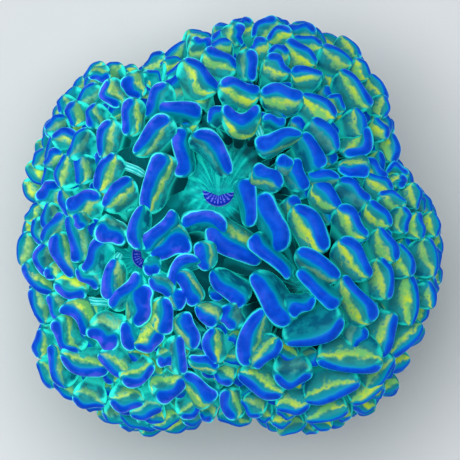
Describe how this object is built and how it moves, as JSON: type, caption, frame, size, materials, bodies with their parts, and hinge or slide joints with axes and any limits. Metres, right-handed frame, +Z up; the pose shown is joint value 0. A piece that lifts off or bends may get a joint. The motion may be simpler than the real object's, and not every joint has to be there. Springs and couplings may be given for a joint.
{
  "type": "hammer coral colony",
  "caption": "Small living hammer coral colony: a stony forked skeleton cut flat at the foot, under a lobed crown of blue and yellow-green hammer-tipped tentacles.",
  "frame": {"origin": "middle of the flat cut at the trunk's foot", "axes": "+Z up through the colony from its cut foot; +Y towards the back, -Y towards the front, +X to the right"},
  "size_m": [0.055, 0.055, 0.0406],
  "materials": {
    "skeleton": "matt, ribbed, cream aragonite",
    "flesh": "wet, soft and slightly see-through; blue caps, yellow-green bands and turquoise stalks"
  },
  "bodies": {
    "root": {"trunk": "skeleton", "branch_rear": "skeleton", "branch_front_right": "skeleton", "branch_front_left": "skeleton", "branch_rear_left": "skeleton", "polyp_rear": "flesh", "polyp_front_right": "flesh", "polyp_front_left": "flesh", "polyp_rear_left": "flesh"}
  },
  "joints": []
}
